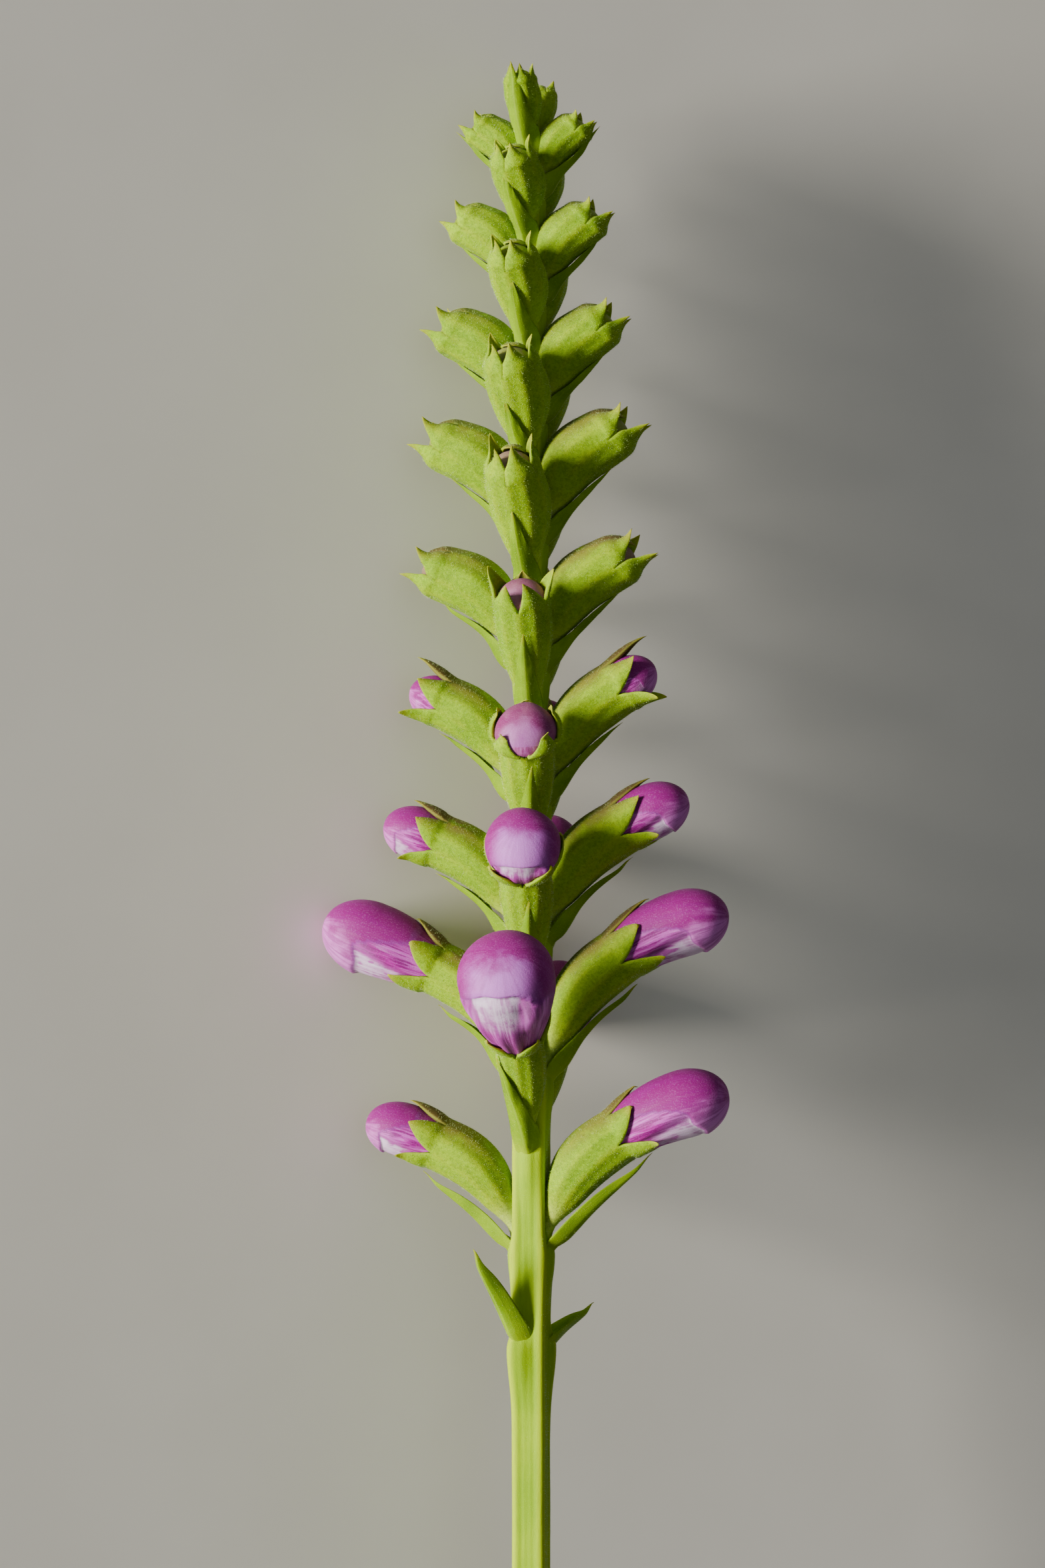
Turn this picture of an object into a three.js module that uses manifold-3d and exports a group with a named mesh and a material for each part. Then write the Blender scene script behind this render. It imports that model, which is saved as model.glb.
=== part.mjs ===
// Obedient plant (Physostegia) flower spike, one cut stem, lying on a surface.
// A square stem carries four rows of blooms. Each bloom is a green calyx with five teeth, over a
// narrow bract that grows from the stem, and the lower calyces hold a swollen purple corolla bud.
// Millimetres. The spike is modelled upright, +Y up the stem and +Z to the front row, and the group
// that holds it is then turned to lie on its left and back rows, with +Z up.
import * as THREE from "three";
import { mergeVertices } from "three/addons/utils/BufferGeometryUtils.js";
import Module from "manifold-3d";

const wasm = await Module();
wasm.setup();

// Stem: a square rod with raised corners, flat faces towards the four rows.
const STEM_CUT = -14;
const STEM_TOP = 87;
const STEM_CORNER = 1.34;
const STEM_CORNER_HALF = 9;
const STEM_FACE = 0.94;
const STEM_TIP_SHARE = 0.42;
const STEM_TAPER_FROM = 14;
const STEM_TAPER_TO = STEM_TOP + 6;
const STEM_STEPS = 34;
const CLEAR_STEPS = 7;
const ROW_TURN = -10;

// The stem swells under each bract: how much, how far above and below, and how narrow round it.
const CUSHION = 0.42;
const CUSHION_ABOVE = 0.9;
const CUSHION_BELOW = 2.4;
const CUSHION_FOCUS = 4;

// Heights of the joints up the stem: side pairs and front and back pairs take turns.
const BARE_JOINT = 13.2;
const SIDE_JOINTS = [20.4, 30.6, 38.7, 47.1, 55.0, 62.7, 69.9, 77.0, 83.3];
const FACE_JOINTS = [26.2, 35.4, 43.4, 51.6, 59.4, 66.6, 73.6, 80.2, 85.6];

// Rows of blooms, each list from the lowest bloom to the highest. tube is the calyx length along its
// middle to the notches between its teeth, wide its radius, out the angle from the stem at its mouth,
// swing a turn round the stem away from the row, and bract the bract's length. bud gives how far the
// corolla stands out of the mouth, its radius, and the angle from the stem at its tip.
const ROWS = {
  right: {
    turn: 90 + ROW_TURN,
    joints: SIDE_JOINTS,
    tube: [6.9, 7.5, 7.2, 7.1, 6.8, 6.5, 5.5, 4.5, 3.5],
    wide: [1.7, 1.72, 1.7, 1.7, 1.72, 1.76, 1.64, 1.48, 1.18],
    out: [56, 53, 58, 57, 53, 49, 46, 43, 40],
    swing: [0, 0, 0, 0, 0, 0, 0, 0, 0],
    bract: [7.6, 6.9, 6.4, 5.8, 5.6, 5.3, 5.0, 4.6, 4.5],
    bud: [[7.0, 2.1, 84], [6.8, 2.12, 88], [4.4, 1.62, 82], [2.6, 1.0, 72]],
  },
  left: {
    turn: -90 + ROW_TURN,
    joints: SIDE_JOINTS,
    tube: [6.7, 7.0, 6.6, 6.5, 6.7, 6.4, 5.7, 4.8, 3.7],
    wide: [1.64, 1.66, 1.66, 1.64, 1.68, 1.72, 1.64, 1.46, 1.18],
    out: [66, 64, 68, 66, 64, 60, 57, 54, 48],
    swing: [0, 0, 0, 0, 0, 0, 0, 0, 0],
    bract: [6.9, 5.8, 5.8, 6.1, 5.7, 5.2, 5.0, 4.7, 4.7],
    bud: [[4.8, 1.62, 86], [7.7, 2.2, 74], [3.7, 1.4, 80], [2.3, 0.98, 74]],
  },
  front: {
    turn: ROW_TURN,
    joints: FACE_JOINTS,
    tube: [6.4, 7.2, 7.1, 7.2, 6.9, 5.9, 5.1, 4.3, 3.0],
    wide: [1.6, 1.6, 1.64, 1.68, 1.7, 1.7, 1.54, 1.42, 1.0],
    out: [45, 38, 42, 38, 34, 32, 32, 30, 18],
    swing: [0, 5, 6, 2, -5, -9, -10, -13, -10],
    bract: [5.8, 5.8, 5.6, 5.6, 5.3, 4.6, 4.6, 4.6, 4.9],
    bud: [[9.4, 2.8, 52], [5.2, 2.2, 54], [2.8, 1.66, 54], [2.1, 1.2, 46], [1.6, 0.9, 42]],
  },
  back: {
    turn: 180 + ROW_TURN,
    joints: FACE_JOINTS,
    tube: [6.4, 6.9, 6.7, 6.6, 6.3, 5.6, 5.0, 4.2, 3.0],
    wide: [1.6, 1.58, 1.58, 1.58, 1.56, 1.56, 1.48, 1.36, 1.0],
    out: [50, 44, 40, 42, 38, 38, 36, 34, 22],
    swing: [-8, 0, 0, 0, 0, -4, -4, -4, -8],
    bract: [5.6, 5.6, 5.4, 5.4, 5.2, 4.8, 4.8, 4.6, 4.4],
    bud: [[6.4, 2.3, 78], [4.6, 1.95, 70], [3.2, 1.6, 62], [2.4, 1.2, 56], [1.7, 0.9, 48]],
  },
};
const CALYX_START = 15;
const CALYX_SEAT = 0.6;

// Outline of a calyx, as shares of its tube and of its radius. Its five teeth stand on the mouth:
// round a bud they spread, the two outer ones most, and on a closed calyx they lean together.
const CALYX_OUTLINE = [[0, 0.34], [0.2, 0.7], [0.6, 0.99], [1, 0.94]];
const CALYX_MOUTH = CALYX_OUTLINE[3][1];
const CLOSED_RISE = 0.26;
const CLOSED_SHARE = 0.8;
const TEETH = 5;
const TOOTH_LENGTH = 0.32;
const TOOTH_OUTER_LONGER = 0.07;
const TOOTH_THICK = 0.6;
const TOOTH_TIP = 0.35;
const TOOTH_CLEAR_AT = [0.3, 0.5, 0.75, 1];
const SPREAD_INNER = 0.08;
const SPREAD_OUTER = 0.5;
const LEAN_CLOSED = -0.24;

// Outline of a corolla bud past the mouth, and its narrow neck inside the calyx.
const BUD_NECK_FROM = 0.62;
const BUD_OUTLINE = [[0.16, 0.52], [0.42, 0.93], [0.74, 0.97], [0.93, 0.6]];
const BUD_FOOT = 0.3;
const BUD_END = 0.12;
const BUD_SIDES = 10;
const BUD_FLAT = 0.94;

// Bracts: a blade folded along its middle, thick enough to print.
const BRACT_WIDE = 1.7;
const BRACT_THICK = 0.6;
const BRACT_TIP_THINNER = 0.35;
const BRACT_FOLD = 0.14;
const BRACT_FOOT = 0.82;
const BRACT_FULL_AT = 0.3;
const BRACT_POWERS = [1.5, 1.1];
const BRACT_END = 0.09;
const BRACT_BELOW = 1.9;
const BRACT_ROOT = 1.2;
const BRACT_SEAT = 0.8;
const BRACT_START_LOW = 47;
const BRACT_START_HIGH = 37;
const BRACT_BEND = 5;
const BARE_BRACTS = [
  { turn: -46, length: 7.4, start: 28, end: 44 },
  { turn: 128, length: 4.7, start: 52, end: 76 },
];

// Neighbours that touch in the plant keep this gap. A calyx keeps at least this room inside.
const GAP = 0.3;
const WALL_ROOM = 0.15;

// How the cut spike lies, found from its weight and the blooms that it rests on.
const LIE_ROLL = -24.6;
const LIE_PITCH = -3.3;

const GREEN = { color: 0x8fb545, roughness: 0.62, metalness: 0 };
const CALYX_GREEN = { color: 0x86a84a, roughness: 0.72, metalness: 0 };
const PURPLE = { color: 0xb252b0, roughness: 0.55, metalness: 0 };

const radians = THREE.MathUtils.degToRad;
const smooth = THREE.MathUtils.smoothstep;

// A closed three.js geometry as a solid that can be joined and cut.
function solid(geometry) {
  geometry.deleteAttribute("normal");
  geometry.deleteAttribute("uv");
  const merged = mergeVertices(geometry, 1e-4);
  const corners = merged.index.array;
  const faces = [];
  for (let i = 0; i < corners.length; i += 3) {
    const [a, b, c] = corners.slice(i, i + 3);
    if (a !== b && b !== c && c !== a) faces.push(a, b, c);
  }
  return new wasm.Manifold(
    new wasm.Mesh({
      numProp: 3,
      vertProperties: merged.attributes.position.array,
      triVerts: new Uint32Array(faces),
    }),
  );
}

// The largest body of a solid, without loose scraps of a cut.
function largest(made) {
  return made.decompose().reduce((a, b) => (b.volume() > a.volume() ? b : a));
}

function mesh(made, name, look) {
  const { vertProperties, triVerts } = made.getMesh();
  const geometry = new THREE.BufferGeometry();
  geometry.setAttribute("position", new THREE.BufferAttribute(vertProperties, 3));
  geometry.setIndex(new THREE.BufferAttribute(triVerts, 1));
  geometry.computeVertexNormals();
  const result = new THREE.Mesh(geometry, new THREE.MeshStandardMaterial(look));
  result.name = name;
  return result;
}

// Moves each vertex of a geometry by a rule.
function warp(geometry, rule) {
  const place = geometry.attributes.position;
  const point = new THREE.Vector3();
  for (let i = 0; i < place.count; i += 1) {
    rule(point.fromBufferAttribute(place, i));
    place.setXYZ(i, point.x, point.y, point.z);
  }
  return geometry;
}

// A line that leaves the stem and bends outwards in round arcs. stretches are [length, angle at its
// end]. at(s, x, z) is the point x to the outer side and z to the flank of the line at length s.
function branch(turn, height, seat, start, stretches) {
  const outward = new THREE.Vector3(Math.sin(radians(turn)), 0, Math.cos(radians(turn)));
  const flank = new THREE.Vector3(-outward.z, 0, outward.x);
  const arcs = [];
  let from = { s: 0, out: seat, up: height, angle: radians(start) };
  for (const [length, end] of stretches) {
    const curve = (radians(end) - from.angle) / length || 1e-6;
    arcs.push({ ...from, curve, length });
    const angle = from.angle + curve * length;
    from = {
      s: from.s + length,
      out: from.out + (Math.cos(from.angle) - Math.cos(angle)) / curve,
      up: from.up + (Math.sin(angle) - Math.sin(from.angle)) / curve,
      angle,
    };
  }
  return (s, x, z, result = new THREE.Vector3()) => {
    const arc = arcs.find((a) => s <= a.s + a.length) || arcs[arcs.length - 1];
    const angle = arc.angle + arc.curve * (s - arc.s);
    const out = arc.out + (Math.cos(arc.angle) - Math.cos(angle)) / arc.curve + x * Math.cos(angle);
    const up = arc.up + (Math.sin(angle) - Math.sin(arc.angle)) / arc.curve - x * Math.sin(angle);
    return result.copy(outward).multiplyScalar(out).addScaledVector(flank, z).setY(up);
  };
}

// The stem's half width towards a turn at a height, with the cushion under each bract.
function stemTaper(height) {
  return 1 - (1 - STEM_TIP_SHARE) * smooth(height, STEM_TAPER_FROM, STEM_TAPER_TO);
}

function bractPlaces() {
  const bare = BARE_BRACTS.map((b) => ({ ...b, height: BARE_JOINT }));
  const fertile = Object.values(ROWS).flatMap((row) =>
    row.joints.map((height, i) => {
      const start = THREE.MathUtils.mapLinear(i, 0, row.joints.length - 1, BRACT_START_LOW, BRACT_START_HIGH);
      return {
        turn: row.turn + row.swing[i],
        length: row.bract[i] + BRACT_ROOT,
        start,
        end: start + BRACT_BEND,
        height: height - BRACT_BELOW,
      };
    }),
  );
  return [...bare, ...fertile];
}

function cushion(x, z, height, places) {
  const turn = Math.atan2(x, z);
  let swell = 0;
  for (const place of places) {
    const rise = height - place.height;
    const along = Math.exp(-((rise / (rise > 0 ? CUSHION_ABOVE : CUSHION_BELOW)) ** 2));
    const side = Math.max(0, Math.cos(turn - radians(place.turn))) ** CUSHION_FOCUS;
    swell += CUSHION * along * side;
  }
  return swell;
}

function stemSolid(extra, places) {
  const outline = new THREE.Shape();
  const corner = STEM_CORNER + extra;
  const face = STEM_FACE + extra;
  const points = [];
  for (let quarter = 0; quarter < 4; quarter += 1) {
    for (const [turn, reach] of [[-STEM_CORNER_HALF, corner], [STEM_CORNER_HALF, corner], [45, face]]) {
      const angle = radians(quarter * 90 + 45 + turn + ROW_TURN);
      points.push(new THREE.Vector2(reach * Math.cos(angle), reach * Math.sin(angle)));
    }
  }
  outline.setFromPoints(points);
  const rod = new THREE.ExtrudeGeometry(outline, {
    depth: STEM_TOP - STEM_CUT,
    steps: extra ? CLEAR_STEPS : STEM_STEPS,
    bevelEnabled: false,
  });
  rod.rotateX(-Math.PI / 2).translate(0, STEM_CUT, 0);
  return solid(
    warp(rod, (p) => {
      const reach = Math.hypot(p.x, p.z);
      const swell = extra ? 0 : cushion(p.x, p.z, p.y, places);
      const grown = ((reach - extra) * stemTaper(p.y) + extra + swell) / reach;
      p.x *= grown;
      p.z *= grown;
    }),
  );
}

// A blade from a unit box: across it is x, along it y, through it z.
function bladeSolid(place, extra) {
  const seat = STEM_FACE * stemTaper(place.height) * BRACT_SEAT;
  const at = branch(place.turn, place.height, seat, place.start, [[place.length, place.end]]);
  const blade = new THREE.BoxGeometry(1, 1, 1, 2, extra ? 2 : 3, 1);
  return solid(
    warp(blade, (p) => {
      const along = p.y + 0.5;
      const half = (BRACT_WIDE / 2) * bladeShare(along) + extra;
      const across = p.x * 2 * half;
      const through = p.z * (BRACT_THICK + 2 * extra) * (1 - BRACT_TIP_THINNER * along);
      at(along * (place.length + extra), -through - Math.abs(across) * BRACT_FOLD, across, p);
    }),
  );
}

// A bract's half width along its length: widest low down, then drawn out to a point.
function bladeShare(along) {
  const low = BRACT_FOOT + (1 - BRACT_FOOT) * smooth(along, 0, BRACT_FULL_AT);
  return Math.max(BRACT_END, low * (1 - along ** BRACT_POWERS[0]) ** BRACT_POWERS[1]);
}

function bloomBranch(bloom) {
  const [budLength, , budEnd] = bloom.bud || [2, 0, bloom.out + 8];
  const stretches = [[bloom.tube, bloom.out], [budLength + GAP, budEnd]];
  const seat = stemTaper(bloom.height) * STEM_FACE + CALYX_SEAT;
  return branch(bloom.turn, bloom.height, seat, CALYX_START, stretches);
}

// A round body from [length, radius] points, turned and then bent along the bloom's line.
function bentRound(at, outline, sides, flat = 1) {
  const first = outline[0][0];
  const last = outline[outline.length - 1][0];
  const points = [[first, 0], ...outline, [last, 0]].map(([s, r]) => new THREE.Vector2(r, s));
  return solid(warp(new THREE.LatheGeometry(points, sides), (p) => at(p.y, p.x * flat, p.z, p)));
}

// The bud's radius at a length along the bloom, zero before the mouth and past the bud's end.
function budReach(bloom, s) {
  const [length, radius] = bloom.bud;
  const share = (s - bloom.tube) / length;
  const outline = [[0, BUD_FOOT], ...BUD_OUTLINE, [1, 0]];
  const after = outline.findIndex(([at]) => at > share);
  if (after < 1) return 0;
  const [from, low] = outline[after - 1];
  const [to, high] = outline[after];
  return radius * THREE.MathUtils.mapLinear(share, from, to, low, high);
}

// A tooth's length. facing is 1 on the outer side of the bloom and -1 by the stem.
function toothLength(bloom, facing) {
  return bloom.tube * (TOOTH_LENGTH + TOOTH_OUTER_LONGER * facing);
}

// How far a tooth's outer face is from the bloom's line at its tip. Over a bud it stands clear of it.
function toothReach(bloom, facing) {
  const mouth = bloom.wide * CALYX_MOUTH;
  const length = toothLength(bloom, facing);
  if (!bloom.bud) return mouth + LEAN_CLOSED * length;
  const spread = THREE.MathUtils.mapLinear(facing, -1, 1, SPREAD_INNER, SPREAD_OUTER);
  const foot = mouth - TOOTH_THICK;
  const clear = TOOTH_CLEAR_AT.map((share) => {
    const bud = budReach(bloom, bloom.tube + share * length);
    return foot + (bud + GAP - foot) / share + TOOTH_THICK;
  });
  return Math.max(mouth + spread * length, ...clear);
}

// One round body with two sides to a tooth. The rings at the tips stand up at the middle of each
// tooth, and fall back to the mouth at each notch. Inside is a cup for the bud's neck, or a low dome.
function calyxSolid(bloom, extra) {
  const at = bloomBranch(bloom);
  const rings = CALYX_OUTLINE.map(([s, r]) => ({ s: s * bloom.tube, r: r * bloom.wide + extra }));
  const mouth = rings[rings.length - 1];
  const inner = { s: mouth.s, r: Math.max(mouth.r - TOOTH_THICK - 2 * extra, WALL_ROOM) };
  const floor = bloom.bud
    ? [inner, { s: bloom.tube * BUD_NECK_FROM - GAP, r: inner.r }]
    : [inner, { s: mouth.s + CLOSED_RISE * bloom.wide, r: CLOSED_SHARE * inner.r }];
  const profile = [...rings, { tooth: 0, foot: mouth }, { tooth: -TOOTH_TIP, foot: inner }, ...floor];
  const closed = [{ ...profile[0], r: 0 }, ...profile, { ...profile[profile.length - 1], r: 0 }];
  const sides = 2 * TEETH;
  const lathe = new THREE.LatheGeometry(closed.map((ring, i) => new THREE.Vector2(1, i)), sides);
  return solid(
    warp(lathe, (p) => {
      const ring = closed[Math.round(p.y)];
      const column = (Math.round((Math.atan2(p.x, p.z) / (2 * Math.PI)) * sides) + sides) % sides;
      const turn = Math.PI - (column * 2 * Math.PI) / sides;
      const facing = Math.cos(turn);
      const standing = ring.foot && column % 2 === 0;
      const { s, r } = ring.foot || ring;
      const length = standing ? s + toothLength(bloom, facing) + extra : s;
      const reach = standing ? toothReach(bloom, facing) + ring.tooth + extra : r;
      at(length, reach * facing, reach * Math.sin(turn), p);
    }),
  );
}

// The bud in its calyx: a thin neck, then the swollen part past the mouth.
function corollaSolid(bloom, extra) {
  const at = bloomBranch(bloom);
  const [length, radius] = bloom.bud;
  const neck = bloom.wide * CALYX_MOUTH - TOOTH_THICK - GAP + extra;
  const outline = [
    [bloom.tube * BUD_NECK_FROM - extra, neck],
    [bloom.tube, neck],
    ...BUD_OUTLINE.map(([s, r]) => [bloom.tube + s * length, r * radius + extra]),
    [bloom.tube + length + extra, radius * BUD_END],
  ];
  return bentRound(at, outline, BUD_SIDES, BUD_FLAT);
}

function listBlooms() {
  const blooms = [];
  for (const [name, row] of Object.entries(ROWS)) {
    row.joints.forEach((height, i) => {
      blooms.push({
        name: `${name}_${i + 1}`,
        turn: row.turn + row.swing[i],
        height,
        tube: row.tube[i],
        wide: row.wide[i],
        out: row.out[i],
        bud: row.bud[i],
      });
    });
  }
  return blooms.sort((a, b) => a.height - b.height);
}

const places = bractPlaces();
const bracts = places.map((place) => bladeSolid(place, 0));
const stem = largest(bracts.reduce((made, blade) => made.add(blade), stemSolid(0, places)));
const keepClear = places
  .map((place) => bladeSolid(place, GAP))
  .reduce((made, blade) => made.add(blade), stemSolid(GAP, places));

const spike = new THREE.Group();
spike.add(mesh(stem, "stem", GREEN));

const standing = [];
function clearOf(made, box) {
  return standing
    .filter((other) => other.box.intersectsBox(box))
    .reduce((left, other) => left.subtract(other.solid), made);
}
function boxOf(made) {
  const { min, max } = made.boundingBox();
  return new THREE.Box3(new THREE.Vector3(...min), new THREE.Vector3(...max));
}

for (const bloom of listBlooms()) {
  let calyx = calyxSolid(bloom, 0).subtract(keepClear);
  calyx = clearOf(calyx, boxOf(calyx));
  if (bloom.bud) {
    const corolla = clearOf(corollaSolid(bloom, 0), boxOf(corollaSolid(bloom, 0))).subtract(keepClear);
    spike.add(mesh(largest(corolla), `corolla_${bloom.name}`, PURPLE));
    const wide = corollaSolid(bloom, GAP);
    standing.push({ solid: wide, box: boxOf(wide) });
  }
  spike.add(mesh(largest(calyx), `calyx_${bloom.name}`, CALYX_GREEN));
  const wide = calyxSolid(bloom, GAP);
  standing.push({ solid: wide, box: boxOf(wide) });
}

const root = new THREE.Group();
root.add(spike);
spike.rotation.set(radians(LIE_PITCH), radians(LIE_ROLL), 0, "XYZ");
spike.updateMatrixWorld(true);
const box = new THREE.Box3().setFromObject(root, true);
const middle = box.getCenter(new THREE.Vector3());
spike.position.set(-middle.x, -middle.y, -box.min.z);

export default root;
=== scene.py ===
"""A cut spike of obedient plant, lying on a pale table under soft light from the left.

The blooms are placed in the plant's own millimetres, +Y up the stem and +Z to the front row, and
lie() then lays them as the solids lie. Each row has one piece for its calyces, one for its buds and
one for the fine down on both.
"""

import math

import bpy
import numpy as np
from mathutils import Matrix, Vector


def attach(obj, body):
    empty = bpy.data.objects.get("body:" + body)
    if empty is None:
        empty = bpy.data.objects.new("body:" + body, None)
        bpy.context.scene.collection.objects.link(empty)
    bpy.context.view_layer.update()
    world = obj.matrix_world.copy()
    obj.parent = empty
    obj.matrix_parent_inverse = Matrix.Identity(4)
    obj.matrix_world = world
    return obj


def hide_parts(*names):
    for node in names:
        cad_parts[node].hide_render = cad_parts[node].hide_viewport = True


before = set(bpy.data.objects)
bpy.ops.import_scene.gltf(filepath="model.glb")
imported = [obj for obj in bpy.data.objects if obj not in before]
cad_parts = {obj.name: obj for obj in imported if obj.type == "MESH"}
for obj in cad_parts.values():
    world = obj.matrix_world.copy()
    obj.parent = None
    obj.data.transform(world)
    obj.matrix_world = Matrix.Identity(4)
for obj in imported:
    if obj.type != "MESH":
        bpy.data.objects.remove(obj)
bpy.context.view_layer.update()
MM = 0.001
FULL_TURN = 2 * math.pi
BARELY_BENT = 1e-6  # stands in for no bend at all, because branch() divides by it

# How the spike lies: degrees about X and Y, then a shift in millimetres.
LIE_PITCH = -3.3
LIE_ROLL = -24.6
LIE_SHIFT = (0.4411, -37.6744, 10.3572)
LAY = (
    Matrix.Rotation(math.radians(LIE_PITCH), 3, "X")
    @ Matrix.Rotation(math.radians(LIE_ROLL), 3, "Y")
)

# The stem, in millimetres, with its turn in degrees from the front. Its outline is a square with
# round corners, sharper as STEM_SQUARE grows, and it swells into a cushion under each bract.
# CUT_PALE says from where to where below 0 the cut turns pale, in shares of STEM_TOP.
STEM_CUT = -14
STEM_TOP = 87
CUT_PALE = (0.1607, 0.1609)
STEM_ROWS = 330
STEM_COLUMNS = 72
STEM_FACE = 0.98
STEM_FACE_TURN = -14
STEM_SQUARE = 6.5
STEM_TIP_SHARE = 0.42
TAPER_START = 14
TAPER_PAST_TOP = 6
RIDGE_HIGH = 0.05
GROOVE_DEEP = 0.03
FACE_HOLLOW = 0.02
CUSHION_HIGH = 0.46
CUSHION_ABOVE = 0.9
CUSHION_BELOW = 2.6
SIDE_JOINTS = [20.4, 30.6, 38.7, 47.1, 55.0, 62.7, 69.9, 77.0, 83.3]
FACE_JOINTS = [26.2, 35.4, 43.4, 51.6, 59.4, 66.6, 73.6, 80.2, 85.6]
BARE_JOINT = 13.2

# The four rows, each from its lowest bloom up, in millimetres and degrees. tube and wide are a
# calyx's length and radius, and out is its angle from the stem at the mouth. swing turns a bloom
# round the stem. bract is a bract's length, start and end are its angles from the stem, and sway is
# how far its point drifts sideways. bud is how far a bud stands out of the mouth, its radius and
# its angle from the stem at the tip, and hood how far up it the hood's edge lies on the outer side.
# The last list is how far the upper side of a calyx has turned brown, and it is partly painted
# shade, raised on calyces that lie in the shade of other blooms.
ROW_TURN = -10
ROWS = {
    "right": dict(
        turn=90 + ROW_TURN, joints=SIDE_JOINTS,
        tube=[6.9, 7.5, 7.2, 7.1, 6.8, 6.5, 5.5, 4.5, 3.5],
        wide=[1.7, 1.72, 1.7, 1.7, 1.72, 1.76, 1.64, 1.48, 1.18],
        out=[56, 53, 58, 57, 53, 49, 46, 43, 40],
        bract=[9.0, 8.3, 7.8, 7.2, 7.3, 6.6, 6.1, 5.9, 6.1],
        start=[47, 43, 43, 40, 37, 39, 38, 37, 33],
        end=[52, 48, 48, 45, 42, 44, 43, 42, 38],
        bud=[[7.3, 2.07, 84], [7.15, 2.0, 88], [4.55, 1.68, 82], [2.7, 1.5, 72]],
        hood=[0.75, 0.75, 0.72, 0.7],
        brown=[0.6, 0.75, 0.75, 0.7, 0.7, 0.6, 0.4, 0.3, 0.2],
    ),
    "left": dict(
        turn=-90 + ROW_TURN, joints=SIDE_JOINTS,
        tube=[6.7, 7.0, 6.6, 6.5, 6.7, 6.4, 5.7, 4.8, 3.7],
        wide=[1.64, 1.66, 1.66, 1.64, 1.68, 1.72, 1.64, 1.46, 1.18],
        out=[66, 64, 68, 66, 64, 60, 57, 54, 48],
        bract=[7.6, 6.8, 7.0, 6.9, 6.9, 6.3, 6.2, 5.9, 6.3],
        start=[49, 46, 46, 45, 47, 43, 39, 42, 37],
        end=[54, 51, 51, 50, 52, 48, 44, 47, 42],
        bud=[[4.8, 1.66, 86], [7.7, 2.22, 74], [3.8, 1.6, 80], [2.4, 1.42, 74]],
        hood=[0.72, 0.63, 0.69, 0.68],
        brown=[0.7, 0.9, 0.85, 0.7, 0.65, 0.55, 0.4, 0.3, 0.2],
    ),
    "front": dict(
        turn=ROW_TURN, joints=FACE_JOINTS,
        tube=[6.4, 7.2, 7.1, 7.2, 6.9, 5.9, 5.1, 4.3, 3.4],
        wide=[1.4, 1.54, 1.62, 1.68, 1.7, 1.7, 1.54, 1.42, 1.0],
        out=[43, 38, 42, 38, 34, 32, 32, 30, 18],
        swing=[0, 5, 6, 2, -5, -9, -10, -13, -10],
        bract=[7.6, 7.8, 7.8, 7.2, 6.5, 5.6, 6.1, 5.8, 6.6],
        start=[30, 34, 32, 30, 28, 26, 24, 22, 17],
        end=[34, 42, 42, 40, 36, 34, 34, 32, 20],
        sway=[1.3, -0.3, -0.4, -0.2, 0, 0.3, -0.2, 0.2, 0.1],
        bud=[[8.2, 2.86, 52], [4.1, 2.26, 54], [2.2, 1.88, 54], [1.0, 1.55, 46], [0.3, 1.4, 42]],
        hood=[0.865, 0.66, 0.6, 0.5, 0.5],
        brown=[0.3, 0.4, 0.4, 0.4, 0.4, 0.3, 0.2, 0.1, 0.1],
    ),
    "back": dict(
        turn=180 + ROW_TURN, joints=FACE_JOINTS,
        tube=[6.4, 6.9, 6.7, 6.6, 6.3, 5.6, 5.0, 4.2, 3.0],
        wide=[1.6, 1.58, 1.58, 1.58, 1.56, 1.56, 1.48, 1.36, 1.0],
        out=[50, 44, 40, 42, 38, 38, 36, 34, 22],
        swing=[-2, 0, 0, 0, 0, -4, -4, -4, -8],
        bract=[6.5, 6.5, 6.3, 6.3, 6.1, 5.7, 5.7, 5.5, 5.3],
        start=[47, 46, 45, 44, 43, 41, 40, 39, 38],
        end=[52, 51, 50, 49, 48, 46, 45, 44, 42],
        bud=[[6.4, 2.3, 78], [4.6, 1.95, 70], [3.2, 1.7, 62], [2.0, 1.5, 56], [0.3, 1.35, 48]],
        hood=[0.68, 0.68, 0.68, 0.68, 0.68],
        brown=[0.6, 0.6, 0.6, 0.5, 0.4, 0.3, 0.2, 0.1, 0.1],
    ),
}
EACH_BLOOM = ("tube", "wide", "out", "bract", "start", "end", "brown")

# A calyx is closed, or has young teeth, where its bud stands out of the mouth by less than this.
SHUT_BELOW = 0.5
YOUNG_BELOW = 1.5

# The line of a bloom past the mouth: its length and bend on a closed calyx, and what is left over.
CLOSED_LINE = 2
CLOSED_LINE_BEND = 8
LINE_PAST_TIP = 0.3

# A calyx. Its outline is [share of its length, share of its radius], and CALYX_START the angle at
# which it leaves the stem. Its foot starts below the joint and leans in to the stem.
CALYX_OUTLINE = [
    [0, 0.2], [0.05, 0.28], [0.12, 0.39], [0.24, 0.58],
    [0.42, 0.81], [0.6, 0.95], [0.8, 1.01], [1, 0.99],
]
CALYX_START = 15
CALYX_SEAT = 0.3
CALYX_BELLY = 0.1
CALYX_RIB = 0.026
CALYX_UNEVEN = 0.014
CLOSED_FULLER = 0.07
CLOSED_SHIFT = 0.32
FOOT_SHIFT = 0.24
FOOT_START = -0.14
MOUTH_REACH = 0.97
WALL = 0.24
WALL_STEPS = 12
TUBE_ROWS = 22

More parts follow.
